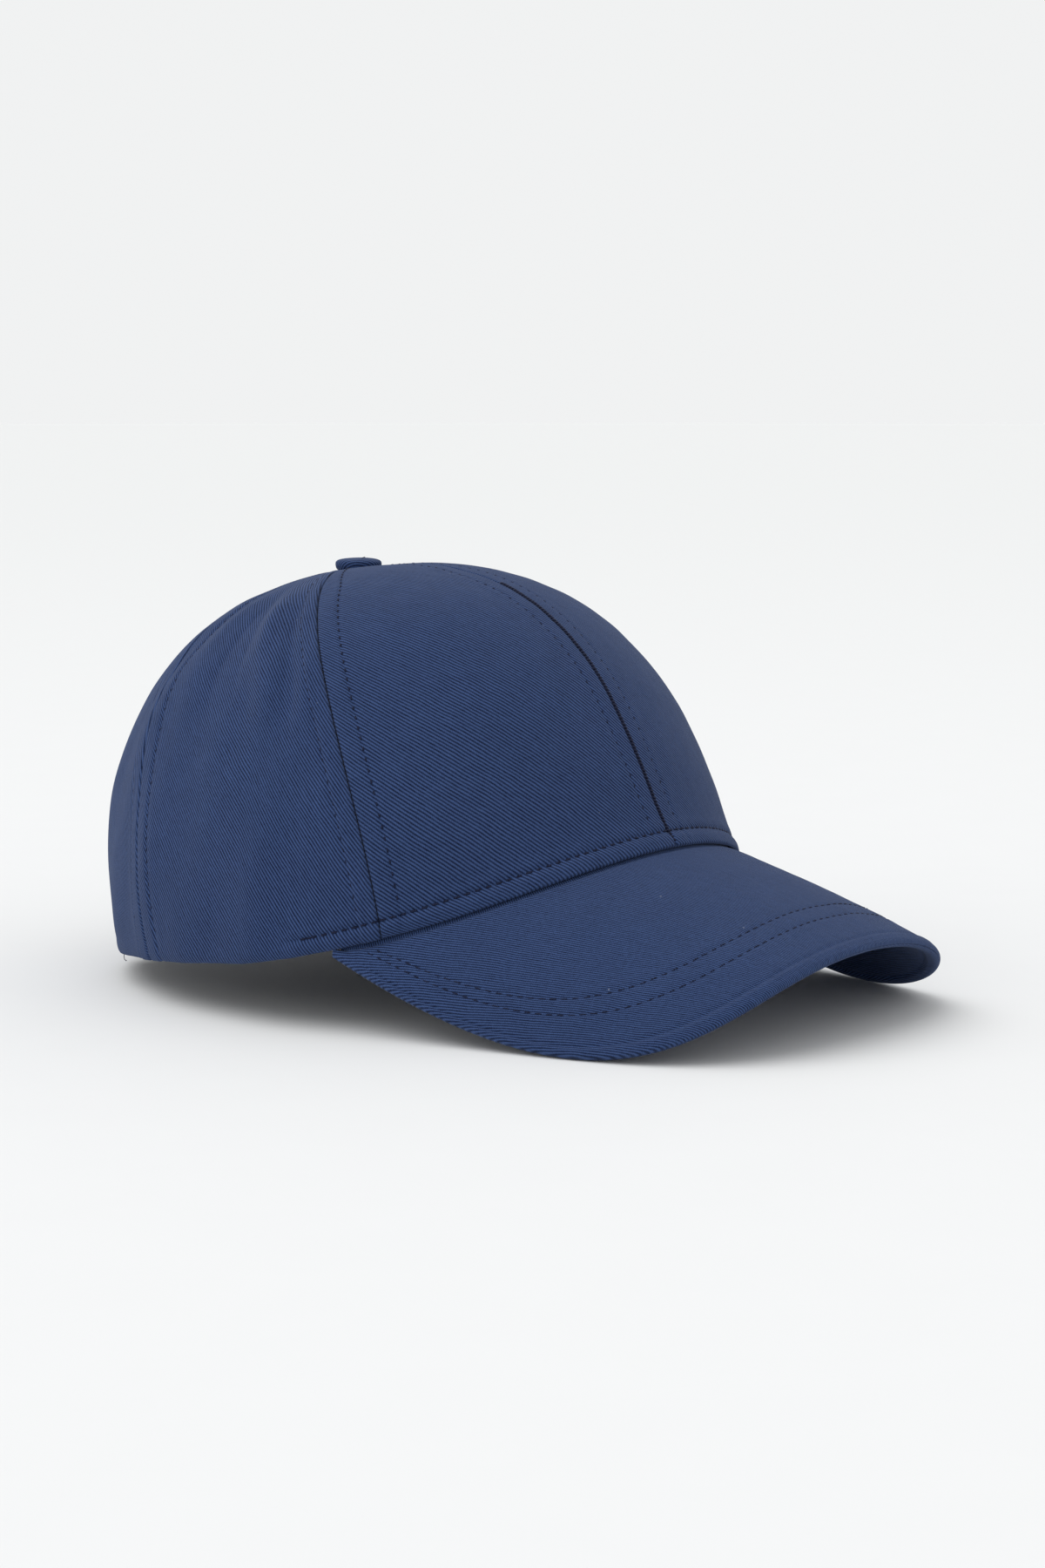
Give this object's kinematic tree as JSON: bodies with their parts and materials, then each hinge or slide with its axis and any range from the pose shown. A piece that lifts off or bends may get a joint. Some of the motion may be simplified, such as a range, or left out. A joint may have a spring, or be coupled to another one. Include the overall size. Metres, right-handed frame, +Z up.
{
  "type": "baseball cap",
  "caption": "Twill cap with a structured paneled crown, curved brim, covered top button and a rear strap with a lever clasp.",
  "frame": {"origin": "centre of the bounding box in X and Y, on the floor plane that the brim's corners stand on", "axes": "+Z up, -Y towards the brim's front edge, +X towards the wearer's left"},
  "size_m": [0.1798, 0.2482, 0.1195],
  "materials": {
    "twill": "blue cotton twill, fine diagonal ribs, matte",
    "inner_cotton": "plain woven cotton tape and band, matte",
    "buckram": "stiff open-weave stiffener, white",
    "label_satin": "white woven satin, blank",
    "brim_core": "polyethylene board",
    "plain_metal": "plain stamped steel",
    "clasp_metal": "antique brass, satin"
  },
  "bodies": {
    "cap": {"back_panel_left": "twill", "back_panel_right": "twill", "brim_board": "brim_core", "brim_cover_bottom": "twill", "brim_cover_top": "twill", "button_cover": "twill", "button_rivet": "plain_metal", "button_shell": "plain_metal", "button_washer": "plain_metal", "care_label": "label_satin", "center_seam_tape": "inner_cotton", "clasp_frame": "clasp_metal", "clasp_pin": "clasp_metal", "front_buckram_left": "buckram", "front_buckram_right": "buckram", "front_panel_left": "twill", "front_panel_right": "twill", "front_side_tape_left": "inner_cotton", "front_side_tape_right": "inner_cotton", "opening_binding": "inner_cotton", "side_back_tape_left": "inner_cotton", "side_back_tape_right": "inner_cotton", "side_panel_left": "twill", "side_panel_right": "twill", "strap_tab": "twill", "sweatband": "inner_cotton"},
    "strap": {"adjuster_strap": "twill"},
    "lever": {"clasp_lever": "clasp_metal"}
  },
  "joints": [
    {"name": "strap_adjust", "type": "hinge", "parent": "cap", "child": "strap", "pos_m": [0, 0.037, 0.0142], "axis": [0, 0.1633, 0.9866], "range_deg": [-12, 12]},
    {"name": "clasp_lever_flip", "type": "hinge", "parent": "cap", "child": "lever", "pos_m": [0.02307, 0.11857, 0.01134], "axis": [0, 0.1633, 0.9866], "range_deg": [0, 110]}
  ]
}
